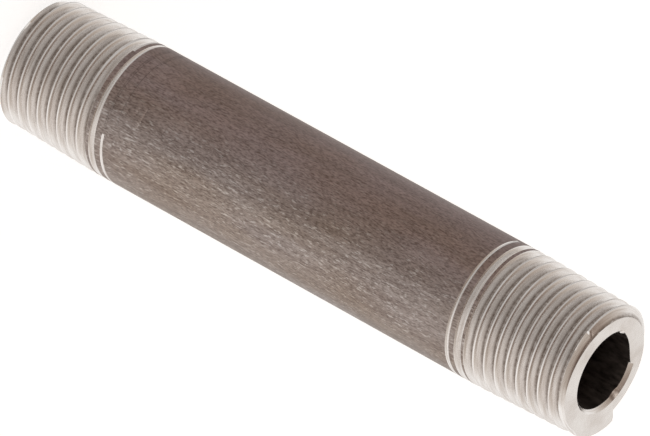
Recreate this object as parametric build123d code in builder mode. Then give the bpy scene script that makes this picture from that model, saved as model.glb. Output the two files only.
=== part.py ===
"""Short steel pipe nipple with a right-hand taper pipe thread at each end, standing on one of its ends."""
import os
from math import atan, degrees, radians, tan

from build123d import *

# Driving dimensions, in millimetres and degrees: size 1/8 taper pipe thread on welded pipe
overall_length = 50.0
pipe_diameter = 9.9
wall_thickness = 2.1
thread_pitch = 25.4 / 28
thread_angle = 55.0
taper = 1 / 16
gauge_diameter = 9.728
gauge_length = 4.9
end_chamfer = 0.3
mouth_chamfer = 0.25
seam_width = 0.9
seam_height = 0.16
seam_direction = 70.6

# Each end has its own thread: the length to the end of its run-out, and how deep its first
# crest lies below the end face, on the side that faces -Y
top_thread = {"length": 10.1, "first_crest": 1.24, "crest_direction": 90.0}
bottom_thread = {"length": 9.5, "first_crest": 0.96, "crest_direction": -90.0}

# Thread form, a 55 degree V with a sixth of its height cut off at the crest. The groove's round
# root is filled in to a flat, which lies a little above the bottom of the round
thread_height = 0.960237 * thread_pitch
root_fill = 0.14
thread_depth = thread_height * 2 / 3 - root_fill
flank_slope = tan(radians(thread_angle / 2))
root_width = thread_pitch / 6 + 2 * root_fill * flank_slope
overcut = 0.25
run_out_length = 1.8
skim = 0.02

pipe_radius = pipe_diameter / 2
bore_radius = pipe_radius - wall_thickness
end_radius = (gauge_diameter - gauge_length * taper) / 2
cone_length = top_thread["length"] + thread_pitch
cone_radius = end_radius + cone_length * taper / 2
middle = overall_length / 2


def thread_groove(length, first_crest, crest_direction):
    """The metal that one thread takes away, as it lies at the bottom end of the pipe."""
    # The helix starts on +X, well below the end face, so that the groove runs out through the face
    groove_at_x = first_crest + thread_pitch * (0.5 - crest_direction / 360)
    start = groove_at_x - thread_pitch * (2 + groove_at_x // thread_pitch)
    root_at_start = end_radius - thread_depth + start * taper / 2
    half_root = root_width / 2
    half_mouth = half_root + (thread_depth + overcut) * flank_slope
    with BuildPart() as groove:
        with BuildLine() as path:
            Helix(
                pitch=thread_pitch,
                height=length + thread_pitch / 4 - start,
                radius=root_at_start,
                center=(0, 0, start),
                cone_angle=degrees(atan(taper / 2)),
            )
        with BuildSketch(Plane((root_at_start, 0, start), x_dir=(1, 0, 0), z_dir=(0, 1, 0))):
            with BuildLine():
                Polyline(
                    (0, -half_root),
                    (thread_depth + overcut, -half_mouth),
                    (thread_depth + overcut, half_mouth),
                    (0, half_root),
                    close=True,
                )
            make_face()
        sweep(path=path.wire(), is_frenet=True)

        # The last turns get shallower as the groove climbs a steep cone up to the pipe's surface
        with BuildSketch(Plane.XZ):
            with BuildLine():
                Polyline(
                    (0, length - run_out_length),
                    (end_radius - thread_depth, length - run_out_length),
                    (pipe_radius, length),
                    (pipe_radius + overcut * 2, length),
                    (pipe_radius + overcut * 2, length + thread_pitch),
                    (0, length + thread_pitch),
                    close=True,
                )
            make_face()
        revolve(axis=Axis.Z, mode=Mode.SUBTRACT)
    return groove.part


def threaded_half(thread):
    """The pipe from its bottom end up to the middle, with that end's thread."""
    with BuildPart() as half:
        # The thread's cone runs on past the pipe's own surface, and is turned down once it is cut
        with BuildSketch(Plane.XZ):
            with BuildLine():
                Polyline(
                    (bore_radius, middle),
                    (bore_radius, mouth_chamfer),
                    (bore_radius + mouth_chamfer, 0),
                    (end_radius - end_chamfer, 0),
                    (end_radius + end_chamfer * taper / 2, end_chamfer),
                    (cone_radius, cone_length),
                    (pipe_radius, cone_length),
                    (pipe_radius, middle),
                    close=True,
                )
            make_face()
        revolve(axis=Axis.Z)
        add(thread_groove(**thread), mode=Mode.SUBTRACT)
        with BuildSketch(Plane.XZ):
            with BuildLine():
                Polyline(
                    (pipe_radius - skim, 0),
                    (pipe_radius, cone_length),
                    (cone_radius + overcut, cone_length),
                    (cone_radius + overcut, 0),
                    close=True,
                )
            make_face()
        revolve(axis=Axis.Z, mode=Mode.SUBTRACT)
    return half.part


with BuildPart() as pipe_nipple:
    # The top half is turned end over end, not mirrored, so that both threads are right-hand
    add(threaded_half(bottom_thread))
    with Locations(Location((0, 0, overall_length), (180, 0, 0))):
        add(threaded_half(top_thread))

    # The weld seam's low round bead, along the inside of the bore
    bead_radius = (seam_height**2 + (seam_width / 2) ** 2) / (2 * seam_height)
    with BuildSketch(Plane.XY.offset(mouth_chamfer)):
        with PolarLocations(bore_radius + bead_radius - seam_height, 1, start_angle=seam_direction):
            Circle(bead_radius)
        Circle(bore_radius + wall_thickness / 4, mode=Mode.INTERSECT)
    extrude(amount=overall_length - 2 * mouth_chamfer)

pipe_nipple.part.label = "pipe_nipple"

os.makedirs("parts", exist_ok=True)
export_step(pipe_nipple.part, "parts/pipe_nipple.step")
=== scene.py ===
"""Looks of the pipe nipple: the threaded, worn steel surface in place of the plain CAD tube, and its studio."""
from math import cos, pi, radians, sin, sqrt, tan

import bpy
import numpy as np
from mathutils import Matrix, Vector


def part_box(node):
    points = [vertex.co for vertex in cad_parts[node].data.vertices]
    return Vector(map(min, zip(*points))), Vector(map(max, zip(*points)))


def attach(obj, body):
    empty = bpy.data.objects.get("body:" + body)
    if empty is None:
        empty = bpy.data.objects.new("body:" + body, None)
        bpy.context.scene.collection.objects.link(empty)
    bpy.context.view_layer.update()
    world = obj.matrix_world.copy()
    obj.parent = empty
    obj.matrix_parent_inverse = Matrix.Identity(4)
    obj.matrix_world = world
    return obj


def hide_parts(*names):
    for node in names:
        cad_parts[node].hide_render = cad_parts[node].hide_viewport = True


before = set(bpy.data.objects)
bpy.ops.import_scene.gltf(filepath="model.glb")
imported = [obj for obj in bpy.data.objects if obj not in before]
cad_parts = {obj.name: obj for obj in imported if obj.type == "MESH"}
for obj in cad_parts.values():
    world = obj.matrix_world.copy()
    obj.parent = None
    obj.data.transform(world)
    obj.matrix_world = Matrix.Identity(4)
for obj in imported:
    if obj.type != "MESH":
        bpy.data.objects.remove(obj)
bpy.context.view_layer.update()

# Sizes in millimetres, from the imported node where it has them
MM = 0.001
low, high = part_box("pipe_nipple")
LENGTH = (high.z - low.z) / MM
PIPE_RADIUS = (high.x - low.x) / 2 / MM
WALL = 2.1
BORE_RADIUS = PIPE_RADIUS - WALL
PITCH = 25.4 / 28
TAPER = 1 / 16
END_RADIUS = (9.728 - 4.9 * TAPER) / 2
HALF_ANGLE = radians(27.5)
FLAT = 1 / 6
THREAD_DEPTH = 0.960237 * PITCH * 2 / 3
RUN_OUT = 1.8
CHAMFER = 0.3
MOUTH_CHAMFER = 0.25
SEAM_DIRECTION = radians(70.6)
SEAM_WIDTH = 0.9
SEAM_HEIGHT = 0.16

# The mesh: columns round the axis, rows per thread pitch, and how far in the threaded rows reach
COLUMNS = 240
ROWS_PER_PITCH = 12
ZONE = 10.45
EDGE_ROUND = 0.02
ROOT_ROUND = 0.05

BODY, MACHINED, BORE = range(3)
ANGLES = np.arange(COLUMNS) * 2 * pi / COLUMNS


def around(angle, stops):
    """A value round the axis from a few (degrees, value) stops, straight between them."""
    degrees_round = np.degrees(angle) % 360
    places = [place for place, value in stops]
    values = [value for place, value in stops]
    return np.interp(degrees_round, places, values, period=360)


class End:
    """One threaded end in its own frame: depth runs in from the end face, and the angle turns
    so that the thread climbs inwards. The top end is the same thing turned end over end."""

    def __init__(self, at_top, first_crest, crest_direction, run_out, sway, sway_direction, face_edge, lip):
        self.side = -1 if at_top else 1
        self.at_top = at_top
        self.first_crest = first_crest
        self.crest_direction = radians(crest_direction)
        self.run_out = run_out
        self.sway = sway
        self.sway_direction = radians(sway_direction)
        self.face_edge = face_edge
        self.lip = lip

    def place(self, radius, depth, angle):
        """Points in the part's own frame."""
        height = LENGTH - depth if self.at_top else depth
        x = radius * np.cos(angle)
        y = self.side * radius * np.sin(angle)
        return np.stack([x, y, height + 0 * x], axis=1)

    def crest(self, turn, angle):
        """The depth of a turn's crest at an angle."""
        return self.first_crest + PITCH * (turn + (angle - self.crest_direction) / (2 * pi))

    def outside(self, depth):
        return np.minimum(END_RADIUS + depth * TAPER / 2, PIPE_RADIUS)

    def cut(self, angle, depth):
        """How deep the groove is where its middle lies at this depth."""
        stop = self.run_out + self.sway * np.cos(angle - self.sway_direction)
        root = END_RADIUS + depth * TAPER / 2 - THREAD_DEPTH
        leaving = PIPE_RADIUS - (stop - depth) * THREAD_DEPTH / RUN_OUT
        return np.clip(self.outside(depth) - np.maximum(root, leaving), 0, None)

    def thread(self, angle, depth):
        """How far the threaded surface lies below the crests, at any angle and depth."""
        turns = (depth - self.crest(0, angle)) / PITCH
        place = turns - np.floor(turns)
        cut = self.cut(angle, self.crest(np.floor(turns) + 0.5, angle))
        from_root = np.abs(place - 0.5) * PITCH
        rise = np.clip(from_root - FLAT * PITCH / 2, 0, None) / tan(HALF_ANGLE)
        return np.clip(cut - rise, 0, None)

    def radius(self, angle, depth):
        """The whole outer surface of the end, with its edge broken or burred as in the photo."""
        plain = self.outside(depth) - self.thread(angle, depth)
        edge = self.face_edge(angle * self.side)
        at_face = self.outside(0) - self.thread(angle, 0 * depth)
        turns = -self.crest(0, angle) / PITCH
        groove = self.crest(np.floor(turns) + 1.5, angle)
        groove = np.where(groove > PITCH / 2, groove - PITCH, groove)
        broken = edge < END_RADIUS - 2 * CHAMFER + 0.1
        slope = np.where(broken, 0.55, 1.0)
        reach = np.where(broken, np.maximum(groove, 0.05), 2 * CHAMFER)
        limit = np.where(depth < reach, edge + slope * depth, PIPE_RADIUS)
        burr = np.clip(edge - at_face, 0, None) * np.clip(1 - depth / 0.45, 0, 1)
        return np.minimum(np.minimum(plain, limit) + burr * (edge > at_face), PIPE_RADIUS)

    def row_depths(self, turn, angle):
        """The depths of one pitch of mesh rows, which follow the groove's own edges."""
        cut = self.cut(angle, self.crest(turn + 0.5, angle))
        root_edge = 0.5 - FLAT / 2
        crest_edge = root_edge - cut * tan(HALF_ANGLE) / PITCH
        edge = EDGE_ROUND / PITCH
        half = [
            0 * angle,
            crest_edge - edge,
            crest_edge + edge,
            (crest_edge + root_edge) / 2,
            root_edge - edge + 0 * angle,
            root_edge + edge + 0 * angle,
        ]
        whole = half + [0.5 + 0 * angle] + [1 - place for place in half[:0:-1]]
        return [self.crest(turn + place, angle) for place in whole]


# The edge radius of the near face, by direction: the first groove runs out through it, the
# feather edge has broken away over a stretch, and beside that it is rolled out into a burr
NEAR_EDGE = [(0, 4.45), (12, 4.78), (30, 4.86), (50, 4.9), (58, 4.84), (60, 3.95), (90, 3.86),
             (130, 3.95), (190, 4.08), (222, 4.12), (260, 4.25), (300, 4.4), (340, 4.43)]


def near_edge(angle):
    return around(angle, NEAR_EDGE)


def far_edge(angle):
    return END_RADIUS - CHAMFER + 0.03 * np.cos(3 * angle + 1) + 0.02 * np.cos(7 * angle)


def near_lip(angle):
    """The burr that stands into the bore's mouth: it swells slowly and ends in a sharp step."""
    along = (np.degrees(angle) % 360 - 117) / (194 - 117)
    return np.where((along > 0) & (along < 1), np.sin(pi * np.clip(along, 0, 1) ** 0.6) ** 0.7, 0)


def no_lip(angle):
    return 0 * angle


TOP = End(True, 1.24, 90, 10.1, 0.0, 0, near_edge, near_lip)
BOTTOM = End(False, 0.96, -90, 9.33, 0.65, -5, far_edge, no_lip)


class Shell:
    """Points and faces of one closed mesh, in millimetres."""

    def __init__(self):
        self.points = []
        self.depths = []
        self.faces = []
        self.materials = []
        self.count = 0

    def add(self, points, below_crest=0.0):
        """Adds points and returns their numbers."""
        self.points.append(points)
        self.depths.append(below_crest + np.zeros(len(points)))
        self.count += len(points)
        return np.arange(self.count - len(points), self.count)

    def strip(self, first, second, material):
        """Faces between two runs of points; with the second farther along +Z they face outwards."""
        for a, b, c, d in zip(first[:-1], first[1:], second[1:], second[:-1]):
            corners = list(dict.fromkeys((int(a), int(b), int(c), int(d))))
            if len(corners) > 2:
                self.faces.append(corners)
                self.materials.append(material)

    def band(self, first, second, material):
        self.strip(np.append(first, first[0]), np.append(second, second[0]), material)


def threaded_zone(shell, end):
    """The threaded rows, which wind round the axis and stop at a level ring at each side."""
    turns = range(-3, int(ZONE / PITCH) + 3)
    depths = np.array([row for turn in turns for row in end.row_depths(turn, ANGLES)])
    start = np.full(COLUMNS, CHAMFER)
    stop = np.full(COLUMNS, ZONE)
    start_ring = shell.add(end.place(end.radius(ANGLES, start), start, ANGLES), end.thread(ANGLES, start))
    stop_ring = shell.add(end.place(end.radius(ANGLES, stop), stop, ANGLES))
    radii = end.radius(ANGLES[None, :], depths)
    below = end.thread(ANGLES[None, :], depths)
    numbers = np.where(depths <= CHAMFER + 1e-3, start_ring, stop_ring)
    inside = (depths > CHAMFER + 1e-3) & (depths < ZONE - 1e-3)
    for row in range(len(depths)):
        keep = inside[row]
        if keep.any():
            points = end.place(radii[row][keep], depths[row][keep], ANGLES[keep])
            numbers[row][keep] = shell.add(points, below[row][keep])
    for row in range(len(depths) - ROWS_PER_PITCH - 1):
        first = np.append(numbers[row], numbers[row + ROWS_PER_PITCH][0])
        second = np.append(numbers[row + 1], numbers[row + 1 + ROWS_PER_PITCH][0])
        shell.strip(first, second, MACHINED)
    return start_ring, stop_ring


PLAIN_FROM = 2 * (PIPE_RADIUS - END_RADIUS) / TAPER


def untouched(mesh, below):
    """Marks as drawn surface what the die has not reached: the lands of the last turns."""
    heights = np.array([polygon.center.z for polygon in mesh.polygons]) / MM
    deepest = np.array([max(below[list(polygon.vertices)]) for polygon in mesh.polygons])
    index = np.array([polygon.material_index for polygon in mesh.polygons])
    depth = np.minimum(heights, LENGTH - heights)
    index[(index == MACHINED) & (depth > PLAIN_FROM + 0.4) & (deepest < 0.015)] = BODY
    mesh.polygons.foreach_set("material_index", index)


def bore_radius(angle):
    """The bore with the weld seam's low round bead along it."""
    bead = (SEAM_HEIGHT**2 + (SEAM_WIDTH / 2) ** 2) / (2 * SEAM_HEIGHT)
    across = BORE_RADIUS * np.sin(angle - SEAM_DIRECTION)
    height = np.sqrt(np.clip(bead**2 - across**2, 0, None)) - (bead - SEAM_HEIGHT)
    return BORE_RADIUS - np.clip(height, 0, None) * (np.cos(angle - SEAM_DIRECTION) > 0)


def end_face(shell, end, ring):
    """From the threaded zone's first ring over the end face and down the bore to the middle."""
    for depth in (0.2, 0.1, 0.04, 0.0):
        at = np.full(COLUMNS, depth)
        below = end.thread(ANGLES, at)
        new = shell.add(end.place(end.radius(ANGLES, at), at, ANGLES), below)
        shell.band(new, ring, MACHINED)
        ring = new
    outer = end.radius(ANGLES, 0 * ANGLES)
    lip = end.lip(ANGLES * end.side)
    inner = BORE_RADIUS + MOUTH_CHAMFER - (MOUTH_CHAMFER + 0.38) * lip
    for share in (0.03, 0.2, 0.5, 0.8, 0.97, 1.0):
        new = shell.add(end.place(outer + (inner - outer) * share, 0 * ANGLES, ANGLES))
        shell.band(new, ring, MACHINED)
        ring = new
    wall = bore_radius(ANGLES * end.side)
    for depth, share in ((0.12, 0.5), (MOUTH_CHAMFER, 0.0)):
        rim = inner + (wall - inner) * (1 - share)
        rim = np.where(lip > 0.02, np.minimum(rim, wall), rim)
        new = shell.add(end.place(rim, np.full(COLUMNS, depth), ANGLES))
        shell.band(new, ring, MACHINED)
        ring = new
    for depth in (0.32, 0.8, 2, 4, 8, 14, 20):
        new = shell.add(end.place(wall, np.full(COLUMNS, depth), ANGLES))
        shell.band(new, ring, BORE)
        ring = new
    return ring


def body_heights():
    """Level rings along the plain pipe, closer together where it has marks."""
    marked = [np.arange(10.6, 12.6, 0.1), np.arange(13.8, 16.4, 0.13), np.arange(36.6, 37.9, 0.13)]
    plain = np.arange(ZONE + 0.1, LENGTH - ZONE, 1.0)
    for stretch in marked:
        plain = plain[(plain < stretch[0] - 0.05) | (plain > stretch[-1] + 0.05)]
    return np.sort(np.concatenate([plain, *marked]))


def make_nipple():
    shell = Shell()
    rings = {}
    for end in (BOTTOM, TOP):
        start, stop = threaded_zone(shell, end)
        rings[end] = stop, end_face(shell, end, start)
    turned = -np.arange(COLUMNS) % COLUMNS
    ring, bore = rings[BOTTOM]
    top_ring, top_bore = [numbers[turned] for numbers in rings[TOP]]
    for height in body_heights():
        at = np.full(COLUMNS, height)
        radius = PIPE_RADIUS - marks(ANGLES, at)
        new = shell.add(np.stack([radius * np.cos(ANGLES), radius * np.sin(ANGLES), at], axis=1))
        shell.band(ring, new, BODY)
        ring = new
    shell.band(ring, top_ring, BODY)
    shell.band(top_bore, bore, BORE)

    mesh = bpy.data.meshes.new("nipple_steel")
    points = np.concatenate(shell.points) * MM
    mesh.from_pydata(points.tolist(), [], shell.faces)
    mesh.polygons.foreach_set("material_index", shell.materials)
    depth = mesh.attributes.new("below_crest", "FLOAT", "POINT")
    depth.data.foreach_set("value", np.concatenate(shell.depths) / THREAD_DEPTH)
    mesh.update()
    untouched(mesh, np.concatenate(shell.depths))
    mesh.shade_smooth()
    mesh.set_sharp_from_angle(angle=radians(28))
    nipple = bpy.data.objects.new("nipple_steel", mesh)
    bpy.context.scene.collection.objects.link(nipple)
    return nipple


# Marks of a vice's jaws beside the far thread, and one pit: height, direction, length round the pipe, depth
JAW_MARKS = [(10.8, 2, 0.7, 0.05), (11.5, 0, 0.8, 0.05), (12.1, 2, 1.8, 0.06), (14.05, 2, 0.9, 0.05),
             (15.05, -1, 1.0, 0.05), (16.1, -1, 1.0, 0.05)]
PIT = (37.4, -41, 0.35, 0.12)


def marks(angle, height):
    """How deep the plain pipe's surface is marked."""
    total = 0 * angle
    for mark_height, direction, length, depth in JAW_MARKS + [PIT]:
        turn = (angle - radians(direction - 90) + pi) % (2 * pi) - pi
        across = turn * PIPE_RADIUS / (length / 2)
        along = (height - mark_height) / (0.15 if depth > 0.1 else 0.09)
        total += depth * np.exp(-across**4) * np.exp(-along**2)
    return total


def node(tree, kind, **inputs):
    made = tree.nodes.new(kind)
    for name, value in inputs.items():
        if hasattr(value, "is_output"):
            tree.links.new(value, made.inputs[name])
        else:
            made.inputs[name].default_value = value
    return made


def maths(tree, operation, first, second=0.0, third=0.0):
    made = tree.nodes.new("ShaderNodeMath")
    made.operation = operation
    for socket, value in zip(made.inputs, (first, second, third)):
        if hasattr(value, "is_output"):
            tree.links.new(value, socket)
        else:
            socket.default_value = value
    return made.outputs[0]


def stretched_noise(tree, scale, detail=3.0, roughness=0.55):
    """Noise with its own scale along each axis, per metre."""
    coordinates = tree.nodes.new("ShaderNodeTexCoord")
    stretch = node(tree, "ShaderNodeMapping", Vector=coordinates.outputs["Object"], Scale=scale)
    return node(tree, "ShaderNodeTexNoise", Vector=stretch.outputs[0], Scale=1.0,
                Detail=detail, Roughness=roughness).outputs[0]


def ramp(tree, value, stops):
    made = tree.nodes.new("ShaderNodeValToRGB")
    tree.links.new(value, made.inputs[0])
    elements = made.color_ramp.elements
    while len(elements) < len(stops):
        elements.new(0.5)
    for element, (place, colour) in zip(elements, stops):
        element.position = place
        element.color = (*colour, 1)
    return made.outputs[0]


def mix(tree, share, first, second):
    made = tree.nodes.new("ShaderNodeMix")
    made.data_type = "RGBA"
    for name, value in ((0, share), (6, first), (7, second)):
        if hasattr(value, "is_output"):
            tree.links.new(value, made.inputs[name])
        else:
            made.inputs[name].default_value = value if name == 0 else (*value, 1)
    return made.outputs[2]


def metal(name):
    material = bpy.data.materials.new(name)
    material.use_nodes = True
    tree = material.node_tree
    shader = tree.nodes["Principled BSDF"]
    shader.inputs["Metallic"].default_value = 1.0
    return material, tree, shader


def bump(tree, shader, height, distance, strength=1.0):
    made = node(tree, "ShaderNodeBump", Height=height, Distance=distance, Strength=strength)
    tree.links.new(made.outputs[0], shader.inputs["Normal"])


def multiply(tree, first, second):
    made = tree.nodes.new("ShaderNodeMix")
    made.data_type = "RGBA"
    made.blend_type = "MULTIPLY"
    made.inputs[0].default_value = 1.0
    tree.links.new(first, made.inputs[6])
    tree.links.new(second, made.inputs[7])
    return made.outputs[2]


def between(tree, value, start, stop):
    """Nothing below start, one above stop, and smooth between them."""
    made = tree.nodes.new("ShaderNodeMapRange")
    made.interpolation_type = "SMOOTHSTEP"
    tree.links.new(value, made.inputs[0])
    made.inputs[1].default_value = start
    made.inputs[2].default_value = stop
    return made.outputs[0]


def place(tree, axis):
    coordinates = tree.nodes.new("ShaderNodeTexCoord")
    return node(tree, "ShaderNodeSeparateXYZ", Vector=coordinates.outputs["Object"]).outputs[axis]


def drawn_steel():
    """The pipe's own surface: dull brownish grey, drawn lengthwise, with fine light and dark flecks;
    its +X side, towards the side lamp, is painted paler and with more pale flecks as painted light."""
    material, tree, shader = metal("drawn_steel")
    fine = stretched_noise(tree, (12000, 12000, 3000), 3, 0.6)
    flecks = stretched_noise(tree, (9000, 9000, 1700), 3, 0.65)
    broad = stretched_noise(tree, (2200, 2200, 160), 3, 0.5)
    patches = stretched_noise(tree, (300, 300, 90), 2, 0.5)
    # painted light: the +X side, towards the side lamp, gets a paler base colour
    painted_lit_side = between(tree, place(tree, "X"), -0.0026, 0.0024)
    dark_base = ramp(tree, broad, [(0.3, (0.25, 0.19, 0.17)), (0.7, (0.32, 0.245, 0.225))])
    painted_lit_base = ramp(tree, broad, [(0.3, (0.25, 0.205, 0.18)), (0.7, (0.36, 0.315, 0.285))])
    base = mix(tree, painted_lit_side, dark_base, painted_lit_base)
    dashes = ramp(tree, fine, [(0.36, (0.62, 0.58, 0.56)), (0.5, (1.0, 1.0, 1.0)), (0.64, (1.25, 1.25, 1.25))])
    base = multiply(tree, base, dashes)
    # the pale flecks are the surface's own, thickened on the +X side as painted glints
    share = maths(tree, "MULTIPLY", between(tree, flecks, 0.56, 0.66), maths(tree, "MULTIPLY_ADD", painted_lit_side, 0.6, 0.12))
    base = mix(tree, share, base, (0.66, 0.62, 0.58))
    tint = ramp(tree, patches, [(0.35, (0.94, 0.88, 0.82)), (0.6, (1.0, 0.99, 1.01))])
    tree.links.new(multiply(tree, base, tint), shader.inputs["Base Color"])
    tree.links.new(maths(tree, "MULTIPLY_ADD", fine, 0.3, 0.28), shader.inputs["Roughness"])
    bump(tree, shader, maths(tree, "ADD", fine, flecks), 0.00002, 0.8)
    return material


def machined_steel():
    """Thread and end faces: bright cut steel with turning marks round the axis, and painted shade darkening the
    thread roots.
    """
    material, tree, shader = metal("machined_steel")
    rings = stretched_noise(tree, (350, 350, 14000), 3, 0.6)
    grain = stretched_noise(tree, (4000, 4000, 4000), 3, 0.6)
    below = tree.nodes.new("ShaderNodeAttribute")
    below.attribute_name = "below_crest"
    depth = below.outputs["Fac"]
    bright = ramp(tree, rings, [(0.3, (0.66, 0.61, 0.57)), (0.5, (0.8, 0.765, 0.74)), (0.7, (0.88, 0.86, 0.84))])
    # painted shade: the colour darkens to dark brown in the deepest part of each groove, where shade falls
    painted_root_shade = maths(tree, "MULTIPLY", between(tree, depth, 0.55, 1.0), maths(tree, "MULTIPLY_ADD", grain, 1.0, 0.2))
    tree.links.new(mix(tree, painted_root_shade, bright, (0.2, 0.15, 0.12)), shader.inputs["Base Color"])
    tree.links.new(maths(tree, "MULTIPLY_ADD", grain, 0.2, 0.16), shader.inputs["Roughness"])
    bump(tree, shader, rings, 0.000006, 0.5)
    return material


def bore_steel():
    """Inside the bore: dark mill scale."""
    material, tree, shader = metal("bore_scale")
    shader.inputs["Metallic"].default_value = 0.6
    grain = stretched_noise(tree, (2500, 2500, 900), 4, 0.6)
    colour = ramp(tree, grain, [(0.35, (0.02, 0.014, 0.011)), (0.65, (0.09, 0.07, 0.06))])
    tree.links.new(colour, shader.inputs["Base Color"])
    tree.links.new(maths(tree, "MULTIPLY_ADD", grain, 0.3, 0.4), shader.inputs["Roughness"])
    bump(tree, shader, grain, 0.00004, 0.6)
    return material


def make_floor():
    """A plain white floor that keeps a faint shadow. Seen directly it is white; in the metal it shows a painted
    reflection, a near-white glow greyer in front of the nipple than on its +X side and behind it.
    """
    size = 1.5
    mesh = bpy.data.meshes.new("floor")
    mesh.from_pydata([(-size, -size, 0), (size, -size, 0), (size, size, 0), (-size, size, 0)], [], [(0, 1, 2, 3)])
    floor = bpy.data.objects.new("floor", mesh)
    bpy.context.scene.collection.objects.link(floor)
    material = bpy.data.materials.new("white_floor")
    material.use_nodes = True
    tree = material.node_tree
    shader = tree.nodes["Principled BSDF"]
    shader.inputs["Base Color"].default_value = (0.8, 0.8, 0.8, 1)
    shader.inputs["Roughness"].default_value = 0.9
    path = tree.nodes.new("ShaderNodeLightPath")
    tree.links.new(maths(tree, "MULTIPLY", path.outputs["Is Camera Ray"], 0.6), shader.inputs["Emission Strength"])
    shader.inputs["Emission Color"].default_value = (1, 1, 1, 1)
    # painted reflection: in glossy and transmission rays the floor is an emission whose strength is painted by
    # direction round the nipple
    mirrored = maths(tree, "MAXIMUM", path.outputs["Is Glossy Ray"], path.outputs["Is Transmission Ray"])
    glow = node(tree, "ShaderNodeEmission", Color=(1.0, 0.97, 0.95, 1.0), Strength=painted_floor_reflection(tree))
    both = node(tree, "ShaderNodeMixShader", Fac=mirrored)
    tree.links.new(shader.outputs[0], both.inputs[1])
    tree.links.new(glow.outputs[0], both.inputs[2])
    tree.links.new(both.outputs[0], tree.nodes["Material Output"].inputs["Surface"])
    mesh.materials.append(material)


def painted_floor_reflection(tree):
    """How bright the floor's painted reflection shows in the metal: greyer in front of the nipple than on its +X
    side and behind it, painted as a floor lit from there would look."""
    coordinates = tree.nodes.new("ShaderNodeTexCoord")
    direction = tree.nodes.new("ShaderNodeVectorMath")
    direction.operation = "NORMALIZE"
    tree.links.new(coordinates.outputs["Object"], direction.inputs[0])
    parts = node(tree, "ShaderNodeSeparateXYZ", Vector=direction.outputs[0])
    right = between(tree, parts.outputs["X"], 0.0, 1.1)
    behind = between(tree, parts.outputs["Y"], 0.7, 1.05)
    left = between(tree, maths(tree, "MULTIPLY", parts.outputs["X"], -1.0), -0.2, 0.2)
    glow = maths(tree, "MULTIPLY_ADD", right, 0.5, 0.6)
    return maths(tree, "ADD", glow, maths(tree, "MULTIPLY", maths(tree, "MULTIPLY", behind, left), 0.4))


def make_world():
    """Soft light from low all round, and a dim warm ceiling that leans a little towards -X."""
    world = bpy.data.worlds.new("studio")
    bpy.context.scene.world = world
    world.use_nodes = True
    tree = world.node_tree
    coordinates = tree.nodes.new("ShaderNodeTexCoord")
    parts = node(tree, "ShaderNodeSeparateXYZ", Vector=coordinates.outputs["Generated"])
    lean = radians(5)
    upward = maths(tree, "MULTIPLY", parts.outputs["Z"], cos(lean))
    upward = maths(tree, "MULTIPLY_ADD", parts.outputs["X"], -sin(lean), upward)
    tone = ramp(tree, upward, [(0.4, (1.0, 0.985, 0.97)), (0.5, (0.88, 0.85, 0.82)), (0.63, (0.66, 0.6, 0.55)),
                               (0.77, (0.5, 0.43, 0.37)), (0.88, (0.32, 0.25, 0.21)), (0.97, (0.14, 0.095, 0.075))])
    path = tree.nodes.new("ShaderNodeLightPath")
    colour = mix(tree, path.outputs["Is Camera Ray"], tone, (1.0, 1.0, 1.0))
    tree.links.new(colour, tree.nodes["Background"].inputs["Color"])
    tree.nodes["Background"].inputs["Strength"].default_value = 1.0


def lamp(name, azimuth, elevation, distance, size, power, colour=(1, 1, 1)):
    """A soft square lamp that points at the middle of the nipple; azimuth 0 is the camera's side."""
    data = bpy.data.lights.new(name, "AREA")
    data.size = size
    data.energy = power
    data.color = colour
    light = bpy.data.objects.new(name, data)
    bpy.context.scene.collection.objects.link(light)
    turn, rise = radians(azimuth), radians(elevation)
    away = Vector((sin(turn) * cos(rise), -cos(turn) * cos(rise), sin(rise)))
    light.location = Vector((0, 0, LENGTH / 2 * MM)) + away * distance
    light.rotation_euler = (-away).to_track_quat("-Z", "Y").to_euler()


def make_camera():
    """The photo's view: from -Y and above, rolled so that the pipe lies across the picture."""
    position = Vector((0, -707.115, 421.813)) * MM
    forward = Vector((0.0000754, 0.8723265, -0.4889238))
    roll = radians(118.94)
    level = forward.cross(Vector((0, 0, 1))).normalized()
    above = level.cross(forward)
    right = level * cos(roll) + above * sin(roll)
    up = above * cos(roll) - level * sin(roll)
    data = bpy.data.cameras.new("camera")
    data.sensor_width = 36
    data.lens = 36 * 11993.24 / 650
    data.clip_start = 0.01
    camera = bpy.data.objects.new("camera", data)
    bpy.context.scene.collection.objects.link(camera)
    turn = Matrix((right, up, -forward)).transposed()
    camera.matrix_world = Matrix.Translation(position) @ turn.to_4x4()
    bpy.context.scene.camera = camera


nipple = make_nipple()
for material in (drawn_steel(), machined_steel(), bore_steel()):
    nipple.data.materials.append(material)
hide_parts("pipe_nipple")
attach(nipple, "root")

make_floor()
make_world()
lamp("strip_light", 236, 74, 0.3, 0.04, 0.012, (1, 0.93, 0.86))
lamp("side_light", 110, 40, 0.5, 0.4, 0.05)
make_camera()
bpy.context.scene.view_settings.view_transform = "Standard"
